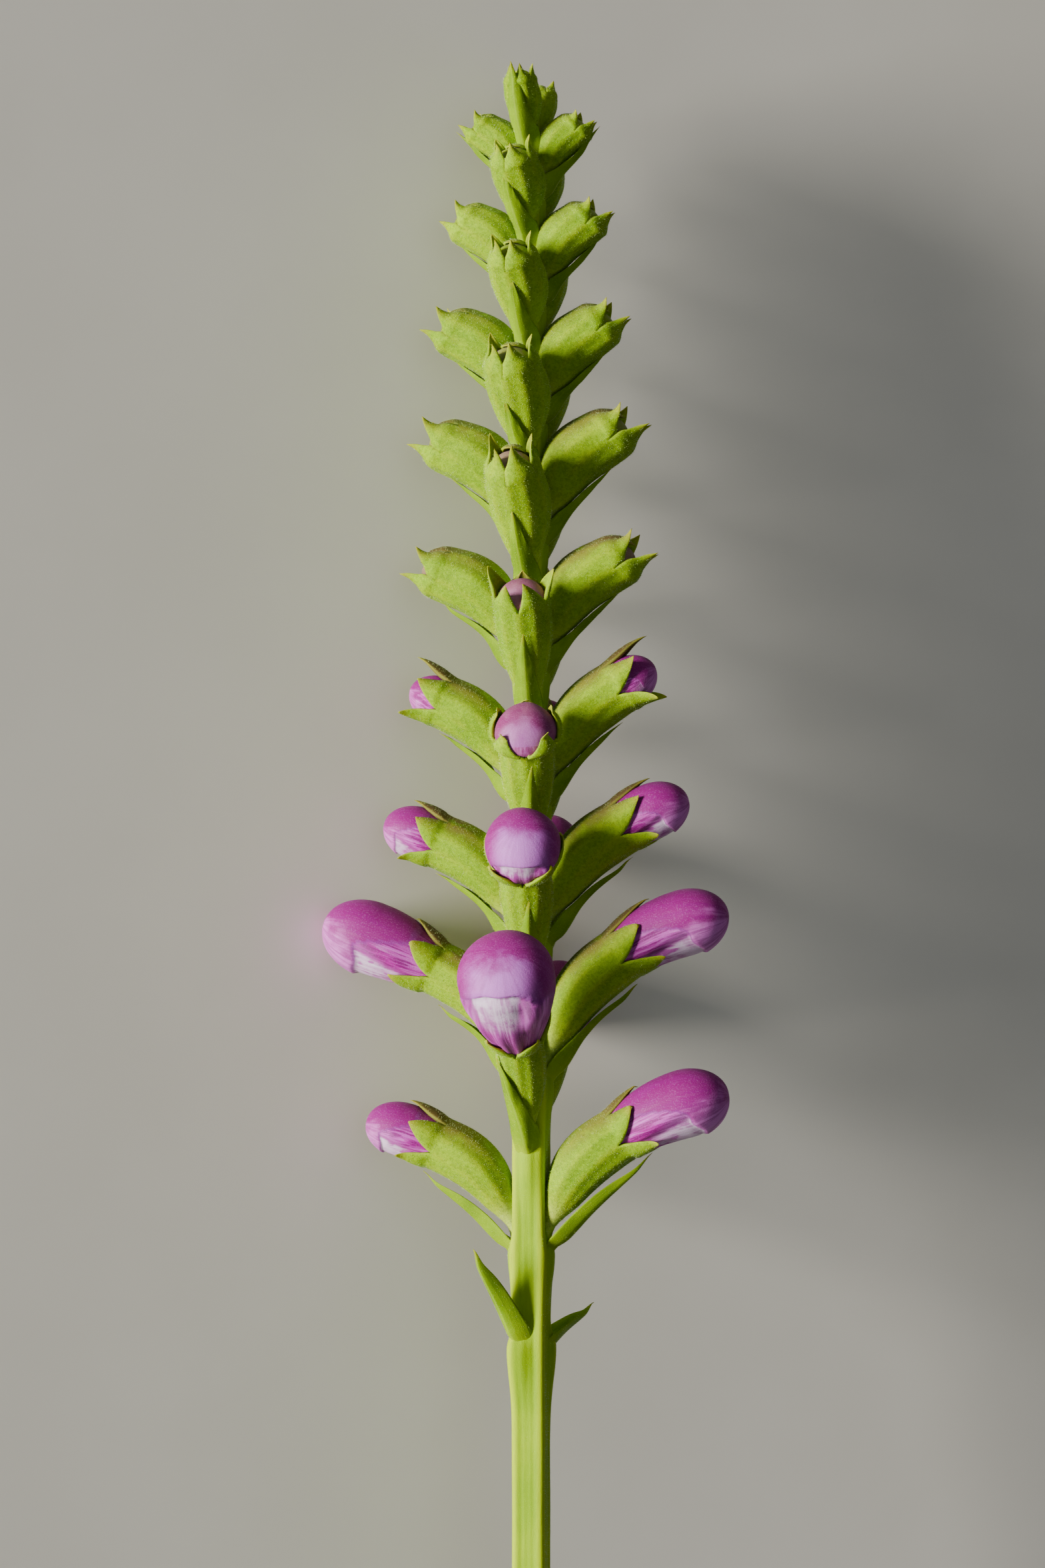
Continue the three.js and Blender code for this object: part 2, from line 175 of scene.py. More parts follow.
# The teeth of a calyx: [degrees round the calyx from the stem's side, kind, side that it leans to].
# A tooth's length is a share of the tube's, and more on the outer side.
TEETH = 5
TEETH_PLACES = [
    (0, "stem", 0), (72, "flank", -1), (144, "outer", -1), (216, "outer", 1), (288, "flank", 1),
]
TOOTH_ROWS = 14
TOOTH_COLUMNS = 10
TOOTH_LENGTH = 0.32
TOOTH_OUTER_LONGER = 0.07
TOOTH_AIR = 0.03
TOOTH_KEEL = 0.1
TOOTH_CUPPED = 0.1
TOOTH_CREASE = 0.07
TOOTH_THIN = 0.9
CALYX_COLUMNS = TEETH * TOOTH_COLUMNS

# How teeth stand round a side bud, round a front bud, round a young bud and on a closed calyx.
# angles are those of a tooth's middle from the bloom's line at even steps from its foot to its tip.
# path is [share of the way, how far past the mouth as a share of the tooth's length, reach as a
# share of the calyx's radius, width as a share of the tooth's place on the mouth].
OPEN_LEANS = dict(stem=0, flank=12, outer=12)
OPEN_ANGLES = dict(stem=[8, 12, 12, 10, 8, 4, 0], flank=[4, 6, 6, 4, 4, 14, 32])
TOOTH_SHAPES = {
    "side": dict(
        longer=dict(stem=1.55, flank=1, outer=1), leans=OPEN_LEANS,
        angles=dict(OPEN_ANGLES, outer=[2, 6, 10, 13, 18, 30, 46]),
    ),
    "front": dict(
        longer=dict(stem=0.8, flank=0.95, outer=0.8), leans=OPEN_LEANS,
        angles=dict(OPEN_ANGLES, outer=[2, 4, 6, 8, 12, 18, 26]),
    ),
    "young": dict(
        longer=dict(stem=0.62, flank=0.8, outer=0.85),
        leans=dict(stem=0, flank=8, outer=-14),
        angles=dict(
            stem=[0, -6, -14, -24, -24, -10, 0], flank=[6, 12, 16, 18, 20, 26, 30],
            outer=[0, -4, -8, -8, -6, 0, 6],
        ),
    ),
    "closed": dict(
        longer=dict(stem=1, flank=1, outer=1),
        leans=dict(stem=0, flank=18, outer=-3),
        path=dict(
            stem=[
                [0, 0, 0.97, 1], [0.3, 0.42, 0.91, 1.05], [0.6, 0.84, 0.64, 1.15],
                [0.85, 1.04, 0.32, 1.0], [1, 1.12, 0.14, 0.5],
            ],
            flank=[
                [0, 0, 0.97, 1], [0.3, 0.28, 0.96, 1.03], [0.46, 0.46, 0.89, 1.0],
                [0.6, 0.62, 0.8, 0.72], [0.78, 0.87, 0.8, 0.4], [1, 1.18, 0.98, 0.02],
            ],
            outer=[
                [0, 0, 0.97, 1], [0.3, 0.27, 0.94, 1.06], [0.46, 0.46, 0.81, 1.06],
                [0.6, 0.62, 0.66, 0.8], [0.78, 0.86, 0.55, 0.46], [1, 1.18, 0.58, 0.02],
            ],
        ),
    ),
}
CLOSED_SHORTER = 0.9

# How long a tooth stays wide before it narrows to its point.
SLENDER_TOOTH = 1.15
FULL_TOOTH = 1.7

# A bud: the share of the mouth that it fills, the length of its round end as a share of its radius,
# and [share of the way to that end, share of the swelling]. Relief is in shares of its radius, and
# SIDE_DROP says how far the hood's edge falls back on the flanks of a side bud.
BUD_ROWS = 48
BUD_COLUMNS = 56
BUD_IN_MOUTH = 0.8
BUD_DOME = 0.8
SIDE_DOME = 1.35
BUD_SWELL = [[0, 0], [0.2, 0.34], [0.5, 0.74], [0.8, 0.96], [1, 1]]
BUD_FLATTER = 0.97
BUD_UNEVEN = 0.012
SIDE_DROP = dict(right=0.12, left=-0.05)
HOOD_STEP = 0.02
SIDE_HOOD_STEP = 0.01
WHITE_DEEP = 0.06
CHEEK_HIGH = 0.09
FURROW_DEEP = 0.06
CREASE_HIGH = 0.035
DOME_ROWS = 12
DOME_COLUMNS = 30
DOME_WIDE = 0.78
DOME_HIGH = 0.21

# The bracts, in millimetres, with BRACT_ROLL in degrees round the blade's own middle. The HOLDs say
# how far a bract is drawn to its calyx, whose line is looked at in LINE_STEPS places.
BRACT_ROWS = 30
BRACT_RING = 18
BRACT_WIDE = 1.55
BRACT_THICK = 0.24
BRACT_KEEL = 0.5
BRACT_BOAT = 0.5
BRACT_WAVE = 0.06
BRACT_CURL = 0.35
BRACT_AIR = 0.16
BRACT_BELOW = 1.5
BRACT_SEAT = 0.75
BRACT_HOLD = 0.95
LOWEST_HOLD = 0.2
FRONT_BRACT_BROAD = 1.2
BRACT_ROLL = dict(left=26, right=-14)
LINE_STEPS = 140
SOFTENED = 6
BARE_BROAD = 1.15
BARE_BRACTS = [
    dict(turn=-46, length=7.4, start=28, end=44, twist=30),
    dict(turn=128, length=4.7, start=52, end=76, twist=-10),
]

# The down: needles to a square millimetre and their length and radius in millimetres.
CALYX_DOWN = (33, 0.15)
BUD_DOWN = (20, 0.06)
STEM_DOWN = (18, 0.1)
BRACT_DOWN = (16, 0.1)
NEEDLE_RADIUS = 0.009
NEEDLE_SUNK = 0.02
NEEDLE_LEAN = 0.32
NEEDLE_CORNERS = (0, 2.1, 4.2)
BLOOM_DOWN_SEED = 11
STEM_DOWN_SEED = 5

# How high the grain of every finish stands, in metres, and the velvet of the stem and bracts.
BUMP_DISTANCE = 0.00003
GREEN_SHEEN = dict(
    Sheen_Weight=0.03, Sheen_Roughness=0.45, Sheen_Tint=(0.6, 0.95, 0.2), Specular_IOR_Level=0.09,
)

# The camera and the lights, which face VIEW_CENTRE. Its values and VIEW_DISTANCE are in the plant's
# millimetres, and the other distances are in metres.
VIEW_CENTRE = (-0.52, 47.04, 0.0)
VIEW_DISTANCE = 290.0
LENS = 111.0
SENSOR = 36
NEAR, FAR = 0.01, 20
LAMP_DISTANCE = 2.4
ROOM_LIGHT = 0.09
TABLE_HALF = 4


def smooth(x, low, high):
    """0 below low, 1 above high, with soft ends."""
    t = np.clip((np.asarray(x, float) - low) / (high - low), 0, 1)
    return t * t * (3 - 2 * t)


def hill(x, middle, width):
    """1 at the middle, falling off softly over the width on both sides."""
    return np.exp(-np.square((x - middle) / width))


def ring(columns):
    """Angles at even steps round a full turn."""
    return np.arange(columns) * FULL_TURN / columns


def profile(points, share):
    """A soft curve through [share, value] points."""
    points = np.array(points, float)
    share = np.clip(share, points[0, 0], points[-1, 0])
    slope = np.gradient(points[:, 1], points[:, 0])
    i = np.clip(np.searchsorted(points[:, 0], share, side="right") - 1, 0, len(points) - 2)
    step = points[i + 1, 0] - points[i, 0]
    t = (share - points[i, 0]) / step
    low, high = points[i, 1], points[i + 1, 1]
    bend = t * (1 - t) ** 2 * step * slope[i] - t * t * (1 - t) * step * slope[i + 1]
    return low + (high - low) * t * t * (3 - 2 * t) + bend


def branch(turn, height, seat, start, stretches):
    """at(s, x, z): the point at length s of a line that bends away from the stem, x to the line's
    outer side and z to its flank. stretches are [length, angle from the stem at its end]."""
    outward = np.array([math.sin(math.radians(turn)), 0, math.cos(math.radians(turn))])
    flank = np.array([-outward[2], 0, outward[0]])
    arcs = []
    s0, out0, up0, angle0 = 0.0, seat, height, math.radians(start)
    for length, end in stretches:
        curve = (math.radians(end) - angle0) / length or BARELY_BENT
        arcs.append((s0, out0, up0, angle0, curve))
        angle = angle0 + curve * length
        out0 += (math.cos(angle0) - math.cos(angle)) / curve
        up0 += (math.sin(angle) - math.sin(angle0)) / curve
        s0, angle0 = s0 + length, angle

    def at(s, x, z):
        s, x, z = np.broadcast_arrays(np.asarray(s, float), x, z)
        result = np.zeros(s.shape + (3,))
        for i, (first, out, up, angle, curve) in enumerate(arcs):
            last = arcs[i + 1][0] if i + 1 < len(arcs) else np.inf
            here = (s >= first if i else s > -np.inf) & (s < last)
            turned = angle + curve * (s - first)
            reach = out + (math.cos(angle) - np.cos(turned)) / curve + x * np.cos(turned)
            rise = up + (np.sin(turned) - math.sin(angle)) / curve - x * np.sin(turned)
            place = outward * reach[..., None] + flank * z[..., None]
            place[..., 1] = rise
            result[here] = place[here]
        return result

    return at


def lie(points):
    """Points in the plant's millimetres, laid on the table, in metres."""
    return (np.asarray(points) @ np.array(LAY).T + np.array(LIE_SHIFT)) * MM


class Surface:
    """Vertices, faces and named numbers per vertex, gathered from several grids."""

    def __init__(self):
        self.points, self.faces, self.numbers, self.count = [], [], {}, 0

    def add(self, points, faces, first=None, **numbers):
        """Add a grid of points. Its faces count from the vertex first, or else from the grid's own
        first point, and each number is spread over the grid."""
        first = self.count if first is None else first
        self.faces += [tuple(int(i) + first for i in face) for face in faces]
        for name, value in numbers.items():
            value = np.broadcast_to(np.asarray(value, float), points.shape[:-1]).reshape(-1)
            self.numbers.setdefault(name, []).append(value)
        self.points.append(points.reshape(-1, 3))
        self.count += len(self.points[-1])

    def piece(self, name, material):
        """The piece itself. The number called full also says how thick its wall is."""
        mesh = bpy.data.meshes.new(name)
        points = lie(np.concatenate(self.points))
        points[:, 2] = np.maximum(points[:, 2], 0)
        mesh.from_pydata(points.tolist(), [], self.faces)
        for key, parts in self.numbers.items():
            made = mesh.attributes.new(key, "FLOAT", "POINT")
            made.data.foreach_set("value", np.concatenate(parts).astype(np.float32))
        mesh.polygons.foreach_set("use_smooth", [True] * len(mesh.polygons))
        thing = link(name, mesh, material)
        if "full" in self.numbers:
            group = thing.vertex_groups.new(name="full")
            level = np.round(np.concatenate(self.numbers["full"]) * WALL_STEPS)
            for step in np.unique(level):
                group.add(np.flatnonzero(level == step).tolist(), step / WALL_STEPS, "REPLACE")
        return thing


def link(name, data, material=None):
    """A new object in the scene."""
    if material:
        data.materials.append(material)
    thing = bpy.data.objects.new(name, data)
    bpy.context.scene.collection.objects.link(thing)
    return thing


def ring_faces(rows, columns, last_cap=True):
    """Quads between rows of vertices that are closed rings, and caps on the first and last row."""
    faces = []
    for i in range(rows - 1):
        for j in range(columns):
            a, b = i * columns + j, i * columns + (j + 1) % columns
            faces.append((a, b, b + columns, a + columns))
    faces.append(tuple(range(columns))[::-1])
    if last_cap:
        faces.append(tuple(range((rows - 1) * columns, rows * columns)))
    return faces


def blooms():
    """Every bloom as a dict of its sizes, row by row."""
    for name, row in ROWS.items():
        for i, height in enumerate(row["joints"]):
            swing, sway = (row[key][i] if key in row else 0 for key in ("swing", "sway"))
            bloom = {key: row[key][i] for key in EACH_BLOOM}
            bloom.update(row=name, index=i, height=height, turn=row["turn"] + swing, sway=sway)
            bloom["bud"] = row["bud"][i] if i < len(row["bud"]) else None
            bloom["hood"] = row["hood"][i] if bloom["bud"] else None
            bloom["side"] = name in SIDE_DROP
            out = bloom["bud"][0] if bloom["bud"] else 0
            bloom["closed"], bloom["young"] = out < SHUT_BELOW, SHUT_BELOW <= out < YOUNG_BELOW
            shape = "front" if name == "front" else "side"
            bloom["teeth"] = "closed" if bloom["closed"] else "young" if bloom["young"] else shape
            bloom["seed"] = np.random.default_rng(100 * len(name) + 7 * i + ord(name[0]))
            bloom["tone"] = bloom["seed"].uniform(-1, 1)
            yield bloom


def stem_taper(height):
    """The stem's width at a height, as a share of its width low down."""
    return 1 - (1 - STEM_TIP_SHARE) * smooth(height, TAPER_START, STEM_TOP + TAPER_PAST_TOP)


def bloom_line(bloom):
    """The line that a calyx and its bud follow, as branch() gives it."""
    length, _, end = bloom["bud"] or [CLOSED_LINE, 0, bloom["out"] + CLOSED_LINE_BEND]
    length = max(length, CLOSED_LINE)
    seat = stem_taper(bloom["height"]) * STEM_FACE + CALYX_SEAT
    return branch(
        bloom["turn"], bloom["height"], float(seat), CALYX_START,
        [[bloom["tube"], bloom["out"]], [length + LINE_PAST_TIP, end]],
    )


def bud_radius(bloom, past):
    """The bud's radius at a length past the mouth. It swells from there and ends in a dome."""
    length, radius, _ = bloom["bud"]
    dome = (SIDE_DOME if bloom["side"] else BUD_DOME) * radius
    foot = min(radius, BUD_IN_MOUTH * bloom["wide"])
    share = np.clip(np.asarray(past, float) / max(length - dome, 0.3 * length), 0, 1)
    body = foot + (radius - foot) * profile(BUD_SWELL, share)
    left = np.clip((length - past) / dome, 0, 1)
    return body * np.sqrt(1 - (1 - left) ** 2)


def calyx_radius(bloom, along, around):
    """The calyx wall from the bloom's line, fuller on the side by the stem. Five ribs run up to the
    teeth and five weaker ones to the notches."""
    belly = 1 + CALYX_BELLY * np.cos(around) * np.sin(math.pi * np.clip(along, 0, 1)) ** 1.5
    fuller = CLOSED_FULLER * smooth(along, 0, 0.6) * smooth(1.1 - along, 0, 0.4) * bloom["closed"]
    ribs = np.cos(2 * TEETH * around) + 0.5 * np.cos(TEETH * around)
    ribs = 1 + CALYX_RIB * ribs * smooth(along, 0.04, 0.45)
    return bloom["wide"] * profile(CALYX_OUTLINE, along) * (belly + fuller) * ribs


def calyx_place(bloom):
    """place(s, r, angle): a point r from the bloom's line at length s. A closed calyx bends over
    towards its outer side, and the foot of each calyx leans in to the stem."""
    at = bloom_line(bloom)
    bend = CLOSED_SHIFT * bloom["wide"] * bloom["closed"]

    def place(s, r, angle):
        share = s / bloom["tube"]
        shift = bend * smooth(share, 0.5, 1.3) - FOOT_SHIFT * (1 - smooth(share, 0, 0.3))
        return at(s, shift - r * np.cos(angle), r * np.sin(angle))

    return place


def tooth_meridian(bloom, kind, length, turns):
    """Even steps from a tooth's foot to its tip, and at each its way past the mouth, its distance
    from the bloom's line and its width as a share of its place on the mouth."""
    t = np.linspace(0, 1, TOOTH_ROWS + 1)
    wide, shape = bloom["wide"], TOOTH_SHAPES[bloom["teeth"]]
    if bloom["closed"]:
        path = shape["path"][kind]
        past, reach, width = (profile([[row[0], row[k]] for row in path], t) for k in (1, 2, 3))
        return t, past * length * CLOSED_SHORTER, reach * wide, width
    angles = shape["angles"][kind]
    slope = np.radians(np.interp(t, np.linspace(0, 1, len(angles)), angles)) * turns
    step = length / TOOTH_ROWS
    middle = (slope[1:] + slope[:-1]) / 2
    past = np.concatenate([[0], np.cumsum(np.cos(middle)) * step])
    reach = wide * MOUTH_REACH + np.concatenate([[0], np.cumsum(np.sin(middle)) * step])
    over = bud_radius(bloom, past) + TOOTH_AIR + WALL
    reach = np.maximum(reach, over * smooth(t, 0, 0.2) * smooth(1.25 - t, 0, 0.3))
    fullness = SLENDER_TOOTH if kind == "outer" or bloom["young"] else FULL_TOOTH
    return t, past, reach, 0.97 * (1 - t**fullness) ** 1.05 + 0.03


def tooth_faces(number):
    """The faces of one tooth, which stands on the last ring of the tube."""
    line = TOOTH_COLUMNS + 1
    first = TUBE_ROWS * CALYX_COLUMNS + number * TOOTH_ROWS * line
    mouth = (TUBE_ROWS - 1) * CALYX_COLUMNS
    lines = [[mouth + (number * TOOTH_COLUMNS + j) % CALYX_COLUMNS for j in range(line)]]
    lines += [[first + i * line + j for j in range(line)] for i in range(TOOTH_ROWS)]
    return [
        (low[j], low[j + 1], high[j + 1], high[j])
        for low, high in zip(lines, lines[1:]) for j in range(TOOTH_COLUMNS)
    ]


def tooth(bloom, place, number, mouth):
    """One tooth's points from the row past the mouth to its tip, and its numbers."""
    degrees, kind, side = TEETH_PLACES[number]
    middle = math.radians(degrees)
    tube, wide, draw, closed = bloom["tube"], bloom["wide"], bloom["seed"], bloom["closed"]
    shape = TOOTH_SHAPES[bloom["teeth"]]
    length = tube * (TOOTH_LENGTH - TOOTH_OUTER_LONGER * math.cos(middle))
    length *= 1 + 0.07 * draw.uniform(-1, 1)
    length *= shape["longer"][kind]
    lean = math.radians(side * shape["leans"][kind] * (1 + 0.4 * draw.uniform(-1, 1)))
    rows = tooth_meridian(bloom, kind, length, 1 + 0.18 * draw.uniform(-1, 1))
    t, past, reach, width = (value[:, None] for value in rows)
    d = np.linspace(-1, 1, TOOTH_COLUMNS + 1)
    foot = mouth[(number * TOOTH_COLUMNS + np.arange(TOOTH_COLUMNS + 1)) % CALYX_COLUMNS]
    reach = reach + (foot - wide * MOUTH_REACH) * (1 - smooth(t, 0, 0.3))
    high = TOOTH_KEEL + TOOTH_KEEL * closed * smooth(t, 0.5, 0.7)
    keel = high * (1 - d**2) * smooth(t, 0, 0.35) * (1 - t**4)
    if closed:
        hollow = TOOTH_CREASE * wide * np.abs(d) ** 3 * smooth(t, 0.05, 0.4) * (1 - t)
    else:
        hollow = TOOTH_CUPPED * wide * d**2 * smooth(t, 0.1, 0.5) * (1 - t)
    angle = middle + d * width * math.pi / TEETH + lean * t**2
    points = place(tube + past, reach + keel - hollow, angle)[1:]
    return points, dict(
        along=(1 + 0.33 * t)[1:], upper=np.cos(angle)[1:], edge=np.abs(d),
        rib=(1 - np.abs(d)) ** 3, full=(1 - TOOTH_THIN * smooth(t, 0.4, 1))[1:],
    )


def calyx(surface, bloom):
    """The tube of a calyx and its five teeth, over a bud or closed together."""
    place = calyx_place(bloom)
    around = ring(CALYX_COLUMNS) - math.pi / TEETH
    waves = bloom["seed"].uniform(-1, 1, (3, 2))
    share = np.linspace(FOOT_START, 1, TUBE_ROWS)[:, None]
    uneven = sum(
        w[0] * np.cos((k + 1) * around + 3 * w[1] + 3 * share) for k, w in enumerate(waves)
    )
    reach = calyx_radius(bloom, share, around)
    reach = reach * (1 + CALYX_UNEVEN * uneven * smooth(share, 0, 0.3))
    same = dict(tone=bloom["tone"], brown=bloom["brown"])
    first = surface.count
    surface.add(
        place(bloom["tube"] * share, reach, around),
        ring_faces(TUBE_ROWS, CALYX_COLUMNS, last_cap=False),
        along=share, upper=np.cos(around), edge=0,
        rib=(0.5 + 0.5 * np.cos(2 * TEETH * around)) ** 2.5, full=1, **same,
    )
    for number in range(TEETH):
        points, numbers = tooth(bloom, place, number, reach[-1])
        surface.add(points, tooth_faces(number), first=first, **numbers, **same)


def off_stem(angle):
    """0 on the side by the stem and 1 on the outer side."""
    return np.abs((angle + math.pi) % FULL_TURN - math.pi) / math.pi


def young_bud(surface, bloom):
    """The dome that shows between the teeth of a closed calyx, greener the higher it stands."""
    at = bloom_line(bloom)
    wide, tube = bloom["wide"], bloom["tube"]
    angle = ring(DOME_COLUMNS)[None]
    turn = np.linspace(-0.5, 1, DOME_ROWS)[:, None] * math.pi / 2
    reach = DOME_WIDE * wide * np.cos(np.maximum(turn, 0)) + 0.01
    s = tube + np.where(turn < 0, turn * wide, DOME_HIGH * tube * np.sin(turn))
    shift = CLOSED_SHIFT * wide * smooth(s / tube, 0.5, 1.3)
    surface.add(
        at(s, shift - reach * np.cos(angle), reach * np.sin(angle)),
        ring_faces(DOME_ROWS, DOME_COLUMNS),
        along=0, off=off_stem(angle), hood=0, big=0, white=0, fold=0, tone=bloom["tone"],
        flank=np.sin(angle), green=smooth(bloom["index"], 2.4, 6), side=0, outer=0, wing=0, ripe=0,
    )


def hood_share(bloom, share, angle):
    """1 on the hood, which covers the tip and the stem's side, and 0 on the lip under it."""
    length, radius, _ = bloom["bud"]
    under = 1 - off_stem(angle)
    drop = SIDE_DROP.get(bloom["row"], (0.75 * radius - 0.4) / (0.64 * length))
    edge = bloom["hood"] - drop * (1 - np.cos(math.pi * under)) + 0.01 * np.cos(7 * angle)
    if bloom["side"]:
        edge = edge - 0.45 * smooth(under, 0.42, 0.68)
    else:
        edge = edge - 0.4 * smooth(under, 0.5, 0.75)
    blur = 0.012 + (0.04 if bloom["side"] else 0.1) * smooth(under, 0.4, 0.6)
    hood = smooth(share, edge - blur, edge + blur)
    return np.maximum(hood, smooth(share, 0.92, 0.98))


def lip_parts(bloom, share, angle, hood):
    """The lip's white middle, the cheeks beside it, the grooves between them and the creases near
    the mouth. The right cheek of a front bud is the fuller one."""
    side, to_hood, under = bloom["side"], share / bloom["hood"], 1 - off_stem(angle)
    right = smooth(-np.sin(angle), -0.1, 0.1) if bloom["row"] == "front" else 0.5
    band = 0.11 + 0.13 * side + 0.16 * to_hood - 0.09 * right * (1 - side)
    low = smooth(to_hood, *((0.1, 0.5) if side else (0.4, 0.75))) * (1 - hood)
    low = low * (1 - smooth(under, 0.45, 0.55))
    white = (1 - smooth(under, band - 0.05, band + 0.03)) * low
    cheek = hill(under - band, 0.11, 0.07) * (0.5 + 0.9 * right) * low
    groove = hill(under - band, 0, 0.025) * low
    crease = -np.cos(39 * under + 2 * share) * (1 - smooth(under, 0.28, 0.4))
    crease = crease * smooth(share, 0, 0.12) * (1 - smooth(to_hood, 0.4, 0.7)) * (1 - hood)
    return white, cheek, groove, crease


def corolla(surface, bloom):
    """A bud: a hood over the tip and the upper side, and a pale lip folded under it."""
    at = bloom_line(bloom)
    length, radius, _ = bloom["bud"]
    tube, wide, side = bloom["tube"], bloom["wide"], bloom["side"]
    big = smooth(length, 1.6, 4.6)
    share = np.sin(np.linspace(0, math.pi / 2, BUD_ROWS))
    share = np.concatenate([[-0.6 * wide / length, -0.3 * wide / length], share])[:, None]
    angle = ring(BUD_COLUMNS)[None]
    reach = (bud_radius(bloom, share * length) + 0.01) * np.ones_like(angle)
    outer = -np.cos(angle) * reach / radius
    hood = hood_share(bloom, share, angle)
    white, cheek, groove, crease = lip_parts(bloom, share, angle, hood)
    white = white * big
    lip = radius * (
        (HOOD_STEP + SIDE_HOOD_STEP * side) * hood - WHITE_DEEP * white + CHEEK_HIGH * cheek
        - FURROW_DEEP * groove + CREASE_HIGH * crease
    )
    waves = bloom["seed"].uniform(-1, 1, (4, 2))
    uneven = sum(
        w[0] * np.cos((k + 1) * angle + 5 * w[1] + (2 + k) * share) for k, w in enumerate(waves)
    )
    uneven = BUD_UNEVEN * radius * uneven * smooth(share, 0, 0.3)
    reach = reach + np.where(share > 0, lip * big + uneven, 0)
    surface.add(
        at(tube + share * length, -reach * np.cos(angle), BUD_FLATTER * reach * np.sin(angle)),
        ring_faces(len(share), BUD_COLUMNS),
        along=share, off=off_stem(angle), hood=hood, big=big, white=white,
        fold=np.maximum(groove, np.clip(crease, 0, 1)) * big, green=0, tone=bloom["tone"],
        flank=np.sin(angle), side=side, outer=outer,
        wing=(1 - side) * np.abs(np.sin(angle)) * reach / radius,
        ripe=smooth(length, 0.5, 2.5) if side else smooth(length, 1, 3.6),
    )


def bract_places():
    """Where each bract stands and its shape: first the two bare ones, then one to a bloom."""
    for place in BARE_BRACTS:
        yield dict(
            place, height=BARE_JOINT, bare=True, tone=0.3, broad=BARE_BROAD, sway=0, roll=0,
        )
    for bloom in blooms():
        yield dict(
            turn=bloom["turn"], length=bloom["bract"], start=bloom["start"],
            end=bloom["end"] + 2 * bloom["tone"], height=bloom["height"] - BRACT_BELOW,
            twist=9 * bloom["seed"].uniform(-1, 1), tone=bloom["tone"], bare=False, bloom=bloom,
            sway=bloom["sway"], broad=FRONT_BRACT_BROAD if bloom["row"] == "front" else 1,
            roll=BRACT_ROLL.get(bloom["row"], 0),
        )


def cushion(turn, height):
    """The swelling of the stem under each bract."""
    swell = np.zeros(np.broadcast(turn, height).shape)
    for place in bract_places():
        rise = height - place["height"]
        along = hill(rise, 0, np.where(rise > 0, CUSHION_ABOVE, CUSHION_BELOW))
        side = np.maximum(0, np.cos(turn - math.radians(place["turn"]))) ** 5
        swell += CUSHION_HIGH * along * side
    return swell


def stem(surface):
    """The square stem, with a ridge on each corner, a groove beside it and hollow faces."""
    height = np.linspace(STEM_CUT, STEM_TOP, STEM_ROWS)[:, None]
    turn = (ring(STEM_COLUMNS) + math.radians(STEM_FACE_TURN))[None]
    square = turn - math.radians(STEM_FACE_TURN)
    reach = np.abs(np.cos(square)) ** STEM_SQUARE + np.abs(np.sin(square)) ** STEM_SQUARE
    reach = reach ** (-1 / STEM_SQUARE)
    corner = 1 - np.abs((square % (math.pi / 2)) / (math.pi / 2) - 0.5) * 2
    ridge = RIDGE_HIGH * smooth(corner, 0.5, 0.8) - GROOVE_DEEP * hill(corner, 0.45, 0.12)
    hollow = FACE_HOLLOW * (1 - smooth(corner, 0, 0.4))
    reach = (STEM_FACE * reach + ridge - hollow) * stem_taper(height)
    uneven = 1 + 0.01 * np.sin(height * 0.7 + 3 * turn) * np.sin(height * 0.23)
    reach = (reach + cushion(turn, height)) * uneven
    height = height * np.ones_like(reach)
    surface.add(
        np.stack([reach * np.sin(turn), height, reach * np.cos(turn)], -1),
        ring_faces(STEM_ROWS, STEM_COLUMNS), corner=corner, height=height / STEM_TOP,
    )


def bract_share(along):
    """A bract's half width: broad low down, then drawn out to a fine point."""
    return (0.75 + 0.25 * smooth(along, 0, 0.22)) * (1 - along**1.8) ** 1.02 + 0.02


def against_calyx(points, bloom, along):
    """Points of a bract moved to lie on the outer side of its calyx, with the tip left free. They
    are drawn to it softly, and pushed out where they would still run into it."""
    at = bloom_line(bloom)
    s = np.linspace(-0.5, 1.35, LINE_STEPS) * bloom["tube"]
    middle, outer = at(s, 0, 0), at(s, 1, 0)
    outer, flank = outer - middle, at(s, 0, 1) - middle
    flat = points.reshape(-1, 3)
    nearest = np.argmin(np.linalg.norm(flat[:, None] - middle[None], axis=2), axis=1)
    away = flat - middle[nearest]
    x, z = np.sum(away * outer[nearest], 1), np.sum(away * flank[nearest], 1)
    share = s[nearest] / bloom["tube"]
    around = np.arctan2(z, -np.maximum(x, 0.1))
    wall = calyx_radius(bloom, np.clip(share, 0, 1), around) + BRACT_AIR
    wall = np.where(share < 0, wall * np.clip(1 + share * 3, 0, 1), wall)
    need = np.sqrt(np.maximum(wall**2 - z**2, 0))
    free = (along * np.ones(points.shape[:2])).reshape(-1)
    hold = (BRACT_HOLD if bloom["index"] else LOWEST_HOLD) * (1 - smooth(free, 0.6, 1))
    hold = hold * smooth(share, -0.1, 0.3) * smooth(wall - np.abs(z), 0, 0.3)
    drawn = (hold * (need - x)).reshape(points.shape[:2])
    for _ in range(SOFTENED):
        drawn[1:-1] = (drawn[:-2] + 2 * drawn[1:-1] + drawn[2:]) / 4
    drawn = drawn.reshape(-1)
    move = drawn + np.maximum(need - x - drawn, 0)
    return (flat + outer[nearest] * move[:, None]).reshape(points.shape)


